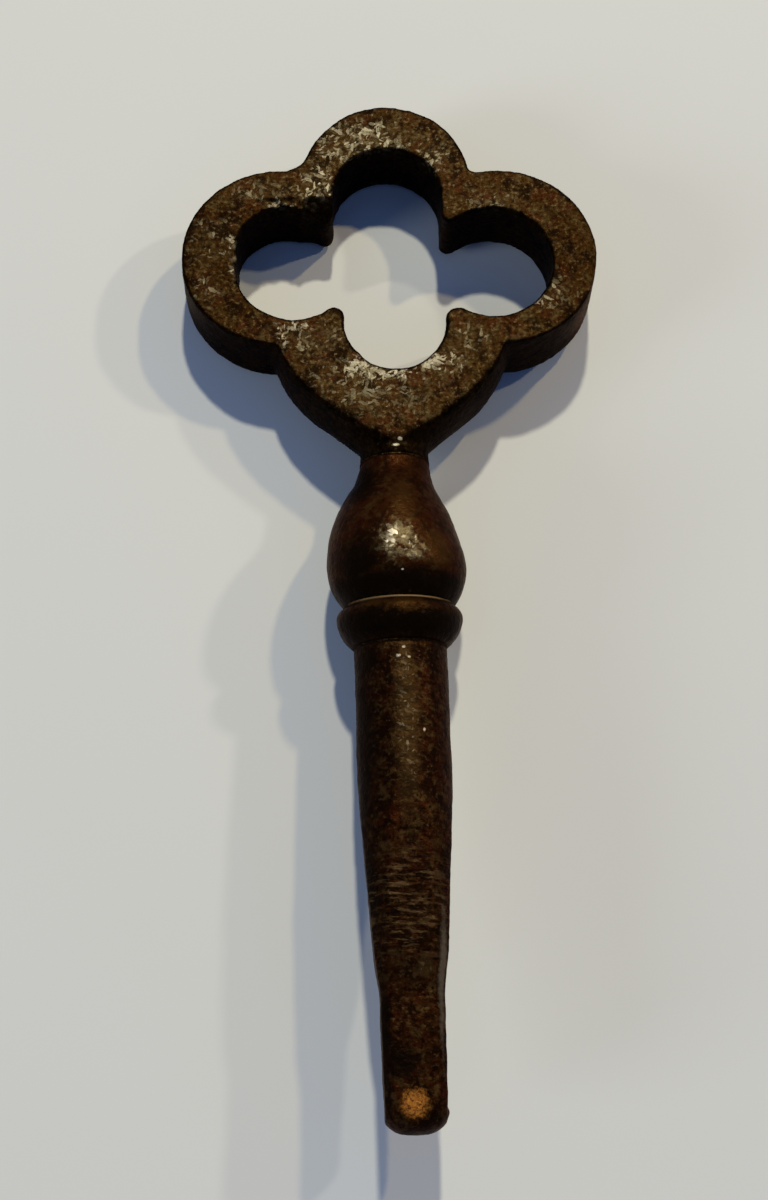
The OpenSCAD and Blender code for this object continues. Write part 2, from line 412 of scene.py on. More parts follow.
def spots(tree, place, v, name):  # one mask over the patches of that name, each a centre and a reach
    edge = calc(tree, "SUBTRACT", noise(tree, place, 2.2, 4.0, 0.65)[0], 0.5)
    edge = times(tree, edge, 2.0 * v["ragged"][name])
    return largest(tree, [
        useGroup(tree, spot, Place=place, Centre=centre, Reach=reach, Ragged=edge)[0]
        for centre, reach in v[name]
    ])


def patinaOf(tree, place, v):
    return useGroup(
        tree, mottling, Place=place, Size=v["patch"], Main=v["main"], Warm=v["warm"], Dull=v["dull"],
        Deep=v["deep"], Light=v["light"], Grain=v["grain"],
    )


def dullShine(tree, shader, tone, roughness):  # old iron has hardly any clear gloss, its edges stay brown
    feed(tree, shader.inputs["Roughness"], ramp(tree, tone, 0.3, 0.7, *roughness))
    shader.inputs["Specular IOR Level"].default_value = 0.03
    shader.inputs["Specular Tint"].default_value = rgb(0.5, 0.36, 0.22)


def addBump(tree, shader, height, depth):
    bump = addNode(tree, "Bump", {"Height": height, "Distance": depth * mm, "Strength": 1.0})
    tree.links.new(bump.outputs[0], shader.inputs["Normal"])


bowFinish = {
    "main": rgb(0.027, 0.0122, 0.0026),
    "warm": rgb(0.029, 0.0090, 0.0022),
    "dull": rgb(0.044, 0.0285, 0.0098),
    "deep": rgb(0.0055, 0.0022, 0.0006),
    "light": rgb(0.078, 0.056, 0.025),
    "pale": rgb(0.105, 0.083, 0.042),
    "bare": rgb(0.36, 0.32, 0.21),
    "glint": rgb(0.48, 0.425, 0.30),
    "paintedWallShade": rgb(0.2, 0.19, 0.17),  # painted shade: share of the patina's colour that the walls keep
    # the walls facing away from the tip keep this much of the patina, less painted shade
    "farShade": rgb(0.85, 0.76, 0.68),
    # rust and painted light on the right outer wall
    "rustyLitShade": rgb(1.4, 1.25, 1.25),
    # painted shade on the faces of the side lobes
    "shadingTint": rgb(0.74, 0.68, 0.58),
    "patch": 1.7,
    "grain": 0.75,
    "flake": 0.36,
    "sparse": 0.10,  # share of flakes away from the rubbed places
    "rubbedGlintFlakes": 0.47,  # further share of flakes and painted glints at the middle of a rubbed place
    "dustSheenFlakes": 0.22,
    "rimFlakes": 0.2,
    "flakesShow": (0.12, 0.9),  # on the walls and on the faces
    "shadedFlakes": (1.0, 0.2),  # without and with painted shade
    "ridgeShine": 0.4,
    "rubbedSheenHaze": 0.07,
    "dustSheenHaze": 0.04,
    "rimGlint": 0.45,
    "speckShine": 0.8,
    "faceTilt": (0.91, 0.991),  # upright share of the normal, on the walls and on the faces; below it the colour takes the painted wall shade
    "wallTilt": (0.45, 0.2),
    "farTilt": (0.05, 0.5),  # share of the normal away from the square end; walls turned that way get less painted shade
    "metallic": (0.5, 0.35),
    "roughness": (0.52, 0.42),
    "skinSize": 0.28,
    "skinDepth": 0.06,
    "ragged": {
        "rubbedAndHighlit": 0.7, "dustAndSheen": 0.7, "rims": 0.5, "glintSpecks": 0.8, "paintedShade": 0.4, "paintedShading": 0.4, "rustyLitWall": 0.3,
    },
    "rubbedAndHighlit": [  # centre and reach of each rubbed place on the faces, with flakes and painted glints
        ((-1.9, 70.7, 2.6), (4.6, 2.6, 1.5)),
        ((-5.0, 66.8, 2.6), (2.1, 2.8, 1.5)),
        ((3.4, 69.2, 2.6), (1.6, 2.2, 1.5)),
        ((-1.5, 52.2, 2.6), (2.9, 0.95, 1.5)),
        ((3.4, 52.6, 2.6), (2.6, 1.15, 1.5)),
        ((0.5, 71.0, -2.6), (4.0, 2.2, 1.5)),
        ((-12.0, 60.5, -2.6), (2.0, 3.6, 1.5)),
        ((4.5, 54.0, -2.6), (3.4, 2.2, 1.5)),
    ],
    "dustAndSheen": [  # faint dusty places, with painted sheen
        ((-12.8, 62.6, 2.5), (2.0, 2.6, 1.5)),
        ((-13.0, 58.6, 2.5), (1.6, 1.8, 1.5)),
        ((-9.2, 66.6, 2.6), (3.0, 1.4, 1.5)),
        ((11.8, 58.0, 2.6), (1.9, 2.1, 1.5)),
        ((7.6, 65.6, 2.6), (2.6, 1.3, 1.5)),
        ((5.6, 54.6, 2.6), (2.2, 1.8, 1.5)),
        ((-5.6, 54.7, 2.6), (3.2, 1.9, 1.5)),
        ((-1.5, 51.0, 2.6), (6.5, 3.6, 1.5)),
    ],
    "rims": [  # rubbed bright along the edges of the opening, with painted glints
        ((-11.3, 61.4, 2.5), (0.55, 2.4, 1.2)),
        ((-7.2, 55.7, 2.5), (1.9, 0.6, 1.2)),
        ((-7.7, 54.5, 2.5), (0.6, 0.9, 1.2)),
        ((-2.4, 52.9, 2.5), (1.2, 0.7, 1.2)),
        ((0.2, 51.9, 2.5), (1.5, 0.6, 1.2)),
        ((2.8, 52.9, 2.5), (1.3, 0.8, 1.2)),
        ((10.6, 57.2, 2.5), (0.5, 0.5, 1.2)),
        ((-7.9, 65.6, 2.4), (1.7, 0.45, 1.0)),
        ((0.0, 73.0, -2.4), (4.0, 0.8, 1.0)),
    ],
    "glintSpecks": [((0.36, 46.86, 2.5), (0.2, 0.15, 0.8)), ((0.04, 46.44, 2.5), (0.36, 0.14, 0.8))],  # painted glints
    "paintedShade": [((0.0, 46.1, 0.0), (5.5, 1.6, 5.5)), ((-4.5, 64.9, 1.6), (1.5, 1.5, 2.6))],  # painted shade at the neck and on the worn cusp
    "paintedShading": [((-13.5, 60.5, 0.0), (7.5, 9.0, 9.0)), ((13.5, 60.5, 0.0), (7.5, 9.0, 9.0))],  # painted shade on the side lobes
    "rustyLitWall": [((14.8, 58.6, 0.0), (2.4, 8.0, 4.5))],  # rust and painted light on the outer wall on the right
}


def makeBowIron(v):
    material, tree, shader, place = startMaterial("bowIron")
    patina = patinaOf(tree, place, v)
    normal = tree.nodes.new("ShaderNodeTexCoord").outputs["Normal"]
    way = addNode(tree, "SeparateXYZ", {0: normal}).outputs
    upright = calc(tree, "ABSOLUTE", way["Z"])
    # painted shade: walls and rounded edges darker than the faces, less on the walls facing away from the
    # tip
    face = ramp(tree, upright, *v["faceTilt"])
    farWall = times(tree, ramp(tree, upright, *v["wallTilt"]), ramp(tree, way["Y"], *v["farTilt"]))
    rubbedAndHighlit, dustAndSheen, rims, paintedShading, rustyLitWall, paintedShade, glintSpecks = [
        spots(tree, place, v, name)
        for name in ("rubbedAndHighlit", "dustAndSheen", "rims", "paintedShading", "rustyLitWall", "paintedShade", "glintSpecks")
    ]
    amount = calc(tree, "ADD", times(tree, rubbedAndHighlit, v["rubbedGlintFlakes"]), v["sparse"])
    amount = calc(tree, "ADD", amount, times(tree, dustAndSheen, v["dustSheenFlakes"]))
    amount = calc(tree, "ADD", amount, times(tree, rims, v["rimFlakes"]))
    shards = useGroup(tree, flakes, Place=place, Size=v["flake"], Amount=amount)
    bare = times(tree, shards["Mask"], ramp(tree, face, 0.0, 1.0, *v["flakesShow"]))
    ridges = times(tree, useGroup(tree, edgeWear, Place=place)[0], rims)
    bare = largest(tree, [bare, times(tree, ridges, v["ridgeShine"])])
    bare = times(tree, bare, ramp(tree, paintedShade, 0.0, 1.0, *v["shadedFlakes"]))
    # painted sheen: lighter haze over the rubbed and dusty places
    haze = largest(tree, [times(tree, rubbedAndHighlit, v["rubbedSheenHaze"]), times(tree, dustAndSheen, v["dustSheenHaze"])])
    colour = tint(tree, haze, patina["Color"], v["light"])
    # painted shade on the walls, lighter on the far walls
    shade = tint(tree, farWall, v["paintedWallShade"], v["farShade"])
    # rust and painted light on the right outer wall
    shade = tint(tree, rustyLitWall, shade, v["rustyLitShade"])
    # painted shade on the faces of the side lobes
    shade = tint(tree, face, shade, tint(tree, paintedShading, rgb(1, 1, 1), v["shadingTint"]))
    # painted shade at the neck and on the worn cusp
    shade = tint(tree, paintedShade, shade, v["paintedWallShade"])
    colour = tint(tree, 1.0, colour, shade, "MULTIPLY")
    metal = tint(tree, shards["Shade"], v["pale"], v["bare"])
    metal = tint(tree, times(tree, rims, v["rimGlint"]), metal, v["glint"])
    colour = tint(tree, bare, colour, metal)
    # painted glints
    colour = tint(tree, times(tree, glintSpecks, v["speckShine"]), colour, v["glint"])
    feed(tree, shader.inputs["Base Color"], colour)
    feed(tree, shader.inputs["Metallic"], ramp(tree, bare, 0.0, 1.0, *v["metallic"]))
    dullShine(tree, shader, patina["Tone"], v["roughness"])
    addBump(tree, shader, useGroup(tree, skin, Place=place, Size=v["skinSize"])[0], v["skinDepth"])
    return material


turnedFinish = {
    "main": rgb(0.022, 0.0060, 0.0015),
    "warm": rgb(0.024, 0.0050, 0.0012),
    "dull": rgb(0.031, 0.0165, 0.0048),
    "deep": rgb(0.0105, 0.0030, 0.0009),
    "light": rgb(0.032, 0.0145, 0.0048),
    "pale": rgb(0.115, 0.090, 0.045),
    "bare": rgb(0.55, 0.49, 0.36),
    # painted highlight colour on the top of the collar
    "collarSheen": rgb(0.029, 0.0122, 0.0026),
    # painted highlight colour down the neck's front and on the belly's right
    "shadingTint": rgb(0.046, 0.0195, 0.0045),
    # painted shade colour
    "sootAndShade": rgb(0.0026, 0.0018, 0.0009),
    "patch": 2.4,
    "grain": 1.0,
    "flake": 0.36,
    "sparse": 0.012,
    "rubbedGlintFlakes": 0.44,
    "flakesInShade": (0.85, 0.15),  # without and with painted shade
    "shadingShare": 0.55,
    "shadeShare": 0.9,
    "sheenShare": 0.75,
    "mottledShare": 0.8,
    "mottleScale": 2.0,
    "mottleSpan": (0.36, 0.60),
    "speckShine": 0.8,
    "metallic": 0.4,
    "roughness": (0.40, 0.30),
    "skinSize": 0.32,
    "skinDepth": 0.05,
    "ragged": {"rubbedAndHighlit": 0.9, "dustAndSheen": 1.5, "paintedShading": 0.6, "glintSpecks": 0.8, "shadedPlaces": 0.3},
    # rubbed patch and painted highlight on the belly
    "rubbedAndHighlit": [
        ((-0.15, 38.5, 4.7), (1.6, 1.8, 1.4)),
        ((1.1, 37.8, 4.6), (1.2, 1.0, 1.2)),
        ((0.0, 38.6, -4.7), (1.6, 2.2, 1.4)),
    ],
    "dustAndSheen": [((0.4, 34.2, 4.1), (2.0, 0.85, 1.1)), ((-1.8, 34.5, 3.7), (1.3, 0.5, 1.1))],  # painted highlight on the top of the collar
    # painted highlight down the neck's front and on the belly's right
    "paintedShading": [((0.3, 41.4, 3.6), (1.3, 2.9, 1.7)), ((2.7, 38.2, 3.9), (1.7, 1.9, 1.7))],
    # painted glints on the belly
    "glintSpecks": [
        ((-0.53, 38.84, 4.7), (0.15, 0.12, 0.6)),
        ((-0.4, 38.4, 4.7), (0.2, 0.22, 0.6)),
        ((-0.85, 38.41, 4.7), (0.14, 0.13, 0.6)),
        ((0.15, 36.4, 4.6), (0.12, 0.08, 0.6)),
    ],
    "shadedPlaces": [  # painted shade all round, at the foot of the belly and below the collar's crest, and on the belly's left
        ((0.0, 35.5, 0.0), (60.0, 1.7, 60.0)),
        ((0.0, 33.1, 0.0), (60.0, 1.5, 60.0)),
        ((-2.6, 37.4, 3.4), (2.7, 2.4, 2.7)),
        ((-2.4, 43.4, 1.8), (1.6, 3.2, 2.8)),
    ],
}


def makeTurnedIron(v):
    material, tree, shader, place = startMaterial("turnedIron")
    patina = patinaOf(tree, place, v)
    rubbedAndHighlit, dustAndSheen, paintedShading, shadedPlaces, glintSpecks = [
        spots(tree, place, v, name) for name in ("rubbedAndHighlit", "dustAndSheen", "paintedShading", "shadedPlaces", "glintSpecks")
    ]
    amount = calc(tree, "ADD", times(tree, rubbedAndHighlit, v["rubbedGlintFlakes"]), v["sparse"])
    shards = useGroup(tree, flakes, Place=place, Size=v["flake"], Amount=amount)
    # painted highlight on the neck and belly
    colour = tint(tree, times(tree, paintedShading, v["shadingShare"]), patina["Color"], v["shadingTint"])
    # painted shade
    colour = tint(tree, times(tree, shadedPlaces, v["shadeShare"]), colour, v["sootAndShade"])
    # painted highlight on the top of the collar
    colour = tint(tree, times(tree, dustAndSheen, v["sheenShare"]), colour, v["collarSheen"])
    mottle = ramp(tree, noise(tree, place, v["mottleScale"], 3.0, 0.6)[0], *v["mottleSpan"])
    mottle = times(tree, rubbedAndHighlit, mottle)
    colour = tint(tree, times(tree, mottle, v["mottledShare"]), colour, v["pale"])
    bare = times(tree, shards["Mask"], ramp(tree, shadedPlaces, 0.0, 1.0, *v["flakesInShade"]))
    metal = tint(tree, shards["Shade"], v["pale"], v["bare"])
    colour = tint(tree, bare, colour, metal)
    # painted glints
    colour = tint(tree, times(tree, glintSpecks, v["speckShine"]), colour, v["bare"])
    feed(tree, shader.inputs["Base Color"], colour)
    shader.inputs["Metallic"].default_value = v["metallic"]
    dullShine(tree, shader, patina["Tone"], v["roughness"])
    addBump(tree, shader, useGroup(tree, skin, Place=place, Size=v["skinSize"])[0], v["skinDepth"])
    return material


filedFinish = {
    "main": rgb(0.018, 0.0058, 0.0016),
    "warm": rgb(0.020, 0.0044, 0.0012),
    "dull": rgb(0.034, 0.0190, 0.0060),
    "deep": rgb(0.0052, 0.0016, 0.0006),
    "light": rgb(0.036, 0.0190, 0.0075),
    "pale": rgb(0.11, 0.080, 0.042),
    "bare": rgb(0.46, 0.41, 0.30),
    "stroke": rgb(0.060, 0.036, 0.016),
    "tip": rgb(0.27, 0.105, 0.018),
    "tipDark": rgb(0.075, 0.022, 0.005),
    # painted light colour for the edge between two flats
    "litBand": rgb(0.10, 0.077, 0.055),
    # painted shade colour, and the dirt in the file grooves
    "sootAndShade": rgb(0.0030, 0.0016, 0.0008),
    "patch": 1.8,
    "grain": 1.0,
    "flake": 0.24,
    "sparse": 0.04,
    "streakFlakes": 0.2,
    "flakeShare": 0.75,
    "streakShare": 0.55,
    "shadeShare": 0.88,
    "strokeShare": 0.9,
    "grooveShare": 0.7,
    "grooveSpan": (0.5, 0.4),
    "cornerShare": 0.8,
    "speckShine": 0.65,
    "tipScale": 5.0,
    "tipSpan": (0.38, 0.56),
    "metallic": (0.45, 0.3),  # on the patina and on the tip's bare spot
    "roughness": (0.44, 0.34),
    "skinSize": 0.3,
    "skinDepth": 0.05,
    "ragged": {"highlightStreak": 0.4, "tipSpot": 0.7, "filed": 0.3, "corner": 0.5, "shadedPlaces": 0.5, "glintSpecks": 0.8},
    # painted highlight along the top of the shank
    "highlightStreak": [((0.15, 26.5, 3.1), (1.1, 8.5, 1.2)), ((0.9, 10.2, 2.1), (0.9, 0.9, 0.8))],
    "tipSpot": [((-0.1, 1.75, 2.0), (1.15, 1.25, 1.0))],
    "filed": [((-0.1, 14.2, 0.0), (5.0, 5.2, 9.0))],
    "corner": [((2.0, 9.0, 1.9), (0.5, 7.5, 0.45))],  # painted light on the edge between two flats
    # painted glints on the shank
    "glintSpecks": [
        ((-0.25, 30.8, 3.2), (0.2, 0.16, 0.6)),
        ((0.45, 30.7, 3.2), (0.13, 0.1, 0.6)),
        ((0.1, 31.4, 3.2), (0.15, 0.11, 0.6)),
        ((1.29, 25.7, 2.9), (0.12, 0.18, 0.6)),
        ((-2.87, 32.1, 1.6), (0.2, 0.12, 0.6)),
    ],
    # painted shade down the left side of the shank, and a darker patch above the tip
    "shadedPlaces": [
        ((-0.9, 4.2, 2.1), (1.7, 1.6, 1.0)),
        ((-3.0, 25.0, 1.0), (2.4, 10.0, 3.0)),
        ((-2.7, 15.0, 1.8), (1.0, 5.5, 1.6)),
        ((-2.0, 6.0, 1.8), (0.7, 5.5, 1.0)),
        ((-2.3, 30.8, 2.2), (1.6, 1.7, 1.8)),
    ],
}


def makeFiledIron(v):
    material, tree, shader, place = startMaterial("filedIron")
    patina = patinaOf(tree, place, v)
    highlightStreak, tipSpot, filed, corner, shadedPlaces, glintSpecks = [
        spots(tree, place, v, name)
        for name in ("highlightStreak", "tipSpot", "filed", "corner", "shadedPlaces", "glintSpecks")
    ]
    strokes = useGroup(tree, fileMarks, Place=place)
    stroke = times(tree, strokes["Mask"], times(tree, filed, v["strokeShare"]))
    groove = ramp(tree, strokes["Height"], *v["grooveSpan"])
    groove = times(tree, groove, times(tree, filed, v["grooveShare"]))
    amount = calc(tree, "ADD", times(tree, highlightStreak, v["streakFlakes"]), v["sparse"])
    shards = useGroup(tree, flakes, Place=place, Size=v["flake"], Amount=amount)
    # painted highlight along the top of the shank
    colour = tint(tree, times(tree, highlightStreak, v["streakShare"]), patina["Color"], v["dull"])
    # painted shade
    colour = tint(tree, times(tree, shadedPlaces, v["shadeShare"]), colour, v["sootAndShade"])
    colour = tint(tree, groove, colour, v["sootAndShade"])
    colour = tint(tree, stroke, colour, v["stroke"])
    # painted light on the edge between two flats
    colour = tint(tree, times(tree, corner, v["cornerShare"]), colour, v["litBand"])
    metal = tint(tree, shards["Shade"], v["pale"], v["bare"])
    colour = tint(tree, times(tree, shards["Mask"], v["flakeShare"]), colour, metal)
    # painted glints
    colour = tint(tree, times(tree, glintSpecks, v["speckShine"]), colour, v["bare"])
    grains = ramp(tree, noise(tree, place, v["tipScale"], 4.0, 0.7)[0], *v["tipSpan"])
    tipColour = tint(tree, grains, v["tipDark"], v["tip"])
    feed(tree, shader.inputs["Base Color"], tint(tree, tipSpot, colour, tipColour))
    feed(tree, shader.inputs["Metallic"], ramp(tree, tipSpot, 0.0, 1.0, *v["metallic"]))
    dullShine(tree, shader, patina["Tone"], v["roughness"])
    relief = useGroup(tree, skin, Place=place, Size=v["skinSize"])[0]
    marks = times(tree, strokes["Height"], filed)
    addBump(tree, shader, calc(tree, "ADD", relief, marks), v["skinDepth"])
    return material


spelterFinish = {
    "main": rgb(0.014, 0.0072, 0.0026),
    "warm": rgb(0.014, 0.0052, 0.0018),
    "dull": rgb(0.024, 0.0160, 0.0066),
    "deep": rgb(0.004, 0.0020, 0.0008),
    "light": rgb(0.050, 0.033, 0.0150),
    # rubbed brass and painted highlight
    "bright": rgb(0.15, 0.092, 0.042),
    "patch": 1.1,
    "grain": 1.0,
    "metallic": 0.5,
    "roughness": (0.55, 0.4),
    "skinSize": 0.2,
    "skinDepth": 0.02,
    "ragged": {"rubbedAndHighlit": 0.6},
    "rubbedAndHighlit": [((-0.2, 34.7, 3.4), (5.4, 1.8, 3.2))],  # the front of the ring above the collar: brass rubbed bright, and a painted highlight
}


def makeSpelter(v):
    material, tree, shader, place = startMaterial("tarnishedSpelter")
    patina = patinaOf(tree, place, v)
    rubbedAndHighlit = spots(tree, place, v, "rubbedAndHighlit")
    feed(tree, shader.inputs["Base Color"], tint(tree, rubbedAndHighlit, patina["Color"], v["bright"]))
    shader.inputs["Metallic"].default_value = v["metallic"]
    dullShine(tree, shader, patina["Tone"], v["roughness"])
    addBump(tree, shader, useGroup(tree, skin, Place=place, Size=v["skinSize"])[0], v["skinDepth"])
    return material


steelFinish = {
    "light": rgb(0.42, 0.42, 0.42),
    "dark": rgb(0.26, 0.26, 0.27),
    "draw": (9.0, 0.4, 9.0),  # drawing lines run along the pin
    "roughness": (0.3, 0.45),
    "lineDepth": 0.01,
}


def makePinSteel(v):
    material, tree, shader, place = startMaterial("drawnSteel")
    lines = noise(tree, vectorCalc(tree, "MULTIPLY", place, v["draw"]), 1.0, 4.0)[0]
    feed(tree, shader.inputs["Base Color"], tint(tree, lines, v["dark"], v["light"]))
    shader.inputs["Metallic"].default_value = 1.0
    feed(tree, shader.inputs["Roughness"], ramp(tree, lines, 0.3, 0.7, *v["roughness"]))
    addBump(tree, shader, lines, v["lineDepth"])
    return material


bowIron = makeBowIron(bowFinish)
turnedIron = makeTurnedIron(turnedFinish)
filedIron = makeFiledIron(filedFinish)
tarnishedSpelter = makeSpelter(spelterFinish)
drawnSteel = makePinSteel(steelFinish)
print("materials ready")


# The bow: four lobes, a turned foot, a cusped opening

boreR = 1.3  # bore for the core pin, in every piece that it runs through
past = 1.0  # how far a cut runs past the face that it opens

bowSizes = {
    "sideLobeR": 7.1,
    "topLobeR": 6.1,
    "topLobeOut": 6.45,
    "footLobeR": 8.45,
    "footLobeOut": 4.5,
    "footSwell": 0.4,
    "hollowR": 0.9,
    "footNeck": 0.7,
    "neckR": 2.45,
    "leftEye": (-6.85, -0.7, 4.12),  # middle and radius, from the middle of the bow, as filed by hand
    "leftCorner": (-7.55, 0.75, 3.42),  # the left opening is filed squarer at its top
    "leftNook": (-6.0, 1.05, 2.95),
    "rightEye": (7.5, -0.5, 4.32),
    "topEye": (0.0, 5.0, 3.92),
    "footEye": (0.32, -5.1, 3.67),
    "topNoseR": 0.65,
    "topLeftNose": (-4.57, 4.3, 0.65),
    "leftNoseR": 0.75,
    "rightNoseR": 0.9,
    "leftLobeShift": (0.15, 0.2),
    "leftNotchR": 2.1,  # the upper left notch is filled round, the right one hardly
    "rightNotchR": 0.5,
    "noseBite": 0.03,  # a nose runs this far into its walls
    "socket": 3.8,
    "socketSteps": 64,
    "voxel": 0.1315,
    "wear": 10,  # rounds of smoothing on the edges
    "footWear": 45,  # the foot is worn rounder than the rest
    "footFaces": (1.0, 2.0),  # where that sets in and where it is full, in height
    "footStart": (0.6, 2.0),  # from the end of the foot
    "footStop": (-7.6, -9.4),  # from the middle of the bow
    "wornCusp": (-4.3, 65.3),
    "cuspDrop": 1.7,
    "cuspAcross": (1.9, 0.6),
    "cuspStart": (-5.0, -4.0),
    "cuspStop": (1.0, -0.9),
    "cuspHeights": (-0.4, 2.4),
    "chippedRim": (-7.2, 65.35),
    "chipSize": 0.45,
    "chipDepth": 0.4,
    "chipAcross": (2.6, 1.56),
    "chipAlong": (0.9, 0.4),
    "chipHeights": (1.3, 2.2),
    "waves": (2.6, 1, 0.14),  # size, detail and height
    "dents": (0.75, 2, 0.075),
    "pits": (0.32, 1, 0.04),
}

bowLow, bowHigh = [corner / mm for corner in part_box("bow")]
bowHalf = bowHigh.z
bowMiddleY = bowHigh.y - bowSizes["topLobeR"] - bowSizes["topLobeOut"]
sideLobeOut = bowHigh.x - bowSizes["sideLobeR"]


def turnFoot(v):  # short neck, hollow, cone, then a ball that runs into the lobe
    ballR = v["footLobeR"] + v["footSwell"]
    ball = Vector((0, bowMiddleY - v["footLobeOut"] - bowLow.y))
    hollow = Vector((v["neckR"] + v["hollowR"], v["footNeck"]))
    between = hollow - ball
    lean = math.atan2(between.y, between.x) + math.acos((ballR + v["hollowR"]) / between.length)
    lean = math.degrees(lean)
    outline = [(0, 0), (v["neckR"], 0)]
    outline += arc(hollow, v["hollowR"], 180, 180 + lean, filletSteps)
    outline += arc(ball, ballR, lean, 0, 2 * filletSteps)
    outline += [(0, ball.y)]
    foot = lathe("bowFoot", outline, bowLow.y, cutSteps)
    pick(foot)
    for side in (1, -1):  # the faces of the plate cut it flat
        bpy.ops.object.mode_set(mode="EDIT")
        bpy.ops.mesh.select_all(action="SELECT")
        bpy.ops.mesh.bisect(
            plane_co=(0, 0, side * bowHalf * mm), plane_no=(0, 0, side), use_fill=True, clear_outer=True,
            threshold=weld,
        )
        bpy.ops.object.mode_set(mode="OBJECT")
    return foot


def cuspNose(wallX, eye, noseR, side, way):  # middle of a nose that touches a wall and a side opening
    x = wallX + side * noseR
    rise = math.sqrt((eye[2] + noseR) ** 2 - (eye[0] - x) ** 2)
    return x, eye[1] + way * rise, noseR


def fillNotch(bow, radius, lobe, lobeR, top, topR, side):  # rounds the corner between two lobes
    apart = top - lobe
    toLobe, toTop = lobeR + radius, topR + radius
    along = (toLobe ** 2 - toTop ** 2 + apart.length ** 2) / (2 * apart.length)
    away = math.sqrt(toLobe ** 2 - along ** 2)
    way = apart.normalized()
    centre = lobe + way * along + Vector((-way.y, way.x)) * away
    start, end = [math.degrees(math.atan2(c.y - centre.y, c.x - centre.x)) for c in (lobe, top)]
    outline = arc(centre, radius, start, end, filletSteps) + [tuple(top), tuple(lobe)]
    outline = [(side * x, y, -bowHalf) for x, y in outline]
    combine(bow, prism("notchFill", outline, (0, 0, 2 * bowHalf)), "UNION")


def makeBow(v):
    plate = 2 * bowHalf
    deep = plate + 2 * past
    bow = disc("bow_worn", sideLobeOut, bowMiddleY, v["sideLobeR"], plate)
    leftX, leftY = v["leftLobeShift"][0] - sideLobeOut, v["leftLobeShift"][1]
    for x, y, r in (
        (leftX, leftY, v["sideLobeR"]),
        (0, v["topLobeOut"], v["topLobeR"]),
        (0, -v["footLobeOut"], v["footLobeR"]),
    ):
        combine(bow, disc("lobe", x, bowMiddleY + y, r, plate), "UNION")
    leftLobe, topLobe = Vector((leftX, bowMiddleY + leftY)), Vector((0, bowMiddleY + v["topLobeOut"]))
    fillNotch(bow, v["leftNotchR"], leftLobe, v["sideLobeR"], topLobe, v["topLobeR"], 1)
    mirrored = Vector((-sideLobeOut, bowMiddleY))  # the right lobe, swung over to the left
    fillNotch(bow, v["rightNotchR"], mirrored, v["sideLobeR"], topLobe, v["topLobeR"], -1)
    combine(bow, turnFoot(v), "UNION")
    left, right, top, foot = v["leftEye"], v["rightEye"], v["topEye"], v["footEye"]
    walls = [(top[0] - top[2], top[0] + top[2]), (foot[0] - foot[2], foot[0] + foot[2])]  # left and right
    topLeft = v["topLeftNose"]
    topRight = cuspNose(walls[0][1], right, v["topNoseR"], 1, 1)
    footLeft = cuspNose(walls[1][0], left, v["leftNoseR"], -1, -1)
    footRight = cuspNose(walls[1][1], right, v["rightNoseR"], 1, -1)
    around = [  # middle of the opening, from the top down the right and up the left
        (walls[0][1], top[1]), (walls[0][1], topRight[1]), topRight[:2], right[:2],
        footRight[:2], (walls[1][1], footRight[1]), (walls[1][1], foot[1]),
        (walls[1][0], foot[1]), (walls[1][0], footLeft[1]), footLeft[:2], left[:2],
        topLeft[:2], (walls[0][0], topLeft[1]), (walls[0][0], top[1]),
    ]
    middle = prism("opening", [(x, bowMiddleY + y, -deep / 2) for x, y in around], (0, 0, deep))
    combine(bow, middle, "DIFFERENCE")
    for x, y, r in (left, v["leftCorner"], v["leftNook"], right, top, foot):
        combine(bow, disc("eye", x, bowMiddleY + y, r, deep), "DIFFERENCE")
    for x, y, r in (topLeft, topRight, footLeft, footRight):
        combine(bow, disc("nose", x, bowMiddleY + y, r + v["noseBite"], plate), "UNION")
    bore = [(0, -past), (boreR, -past), (boreR, v["socket"]), (0, v["socket"])]
    combine(bow, lathe("socket", bore, bowLow.y, v["socketSteps"]), "DIFFERENCE")
    applyModifier(bow, "REMESH", mode="VOXEL", voxel_size=v["voxel"] * mm)
    wearDown(bow, v["wear"])
    softenPlaces(bow, "footEdges", v["footWear"], lambda p: (
        fade(abs(p.z), v["footFaces"]) * fade(p.y - bowLow.y, v["footStart"])
        * fade(p.y - bowMiddleY, v["footStop"])
    ))
    cuspX, cuspY = v["wornCusp"]
    pushPlaces(bow, "wornCusp", "Z", -v["cuspDrop"], lambda p: (
        fade(p.y - cuspY, v["cuspStop"]) * fade(p.y - cuspY, v["cuspStart"])
        * fade(abs(p.x - cuspX), v["cuspAcross"]) * fade(p.z, v["cuspHeights"])
    ))
    chipX, chipY = v["chippedRim"]
    chipPlaces(bow, "rimChips", v["chipSize"], v["chipDepth"], lambda p: (
        fade(p.z, v["chipHeights"]) * fade(abs(p.y - chipY), v["chipAlong"])
        * fade(abs(p.x - chipX), v["chipAcross"])
    ))
    roughen(bow, "bowWaves", v["waves"])
    roughen(bow, "bowDents", v["dents"])
    roughen(bow, "bowPits", v["pits"])
    finishPiece(bow, "bow", bowIron)


makeBow(bowSizes)


# The turned pieces: a baluster, a collar and the rings of brazing metal in their seams

balusterSizes = {
    "neckR": 2.45,
    "bellyR": 4.8,
    "bellyHeight": 3.05,
    "footR": 3.8,
    "curveR": 9.5,
    "steps": (28, 54, 26),  # along the foot, the belly and the neck
    "flatSide": 0.35,  # the upper right flank is worn this much flatter
    "flatAcross": (0.8, 3.0),
    "flatStart": (37.5, 40.5),
    "flatStop": (45.4, 42.5),
    "fullSide": 0.16,  # the left side is this much fuller
    "fullAcross": (-1.0, -2.6),
    "fullStart": (35.4, 36.6),
    "fullStop": (45.8, 44.8),
    "waves": (2.4, 1, 0.10),
    "dents": (0.6, 2, 0.05),
}

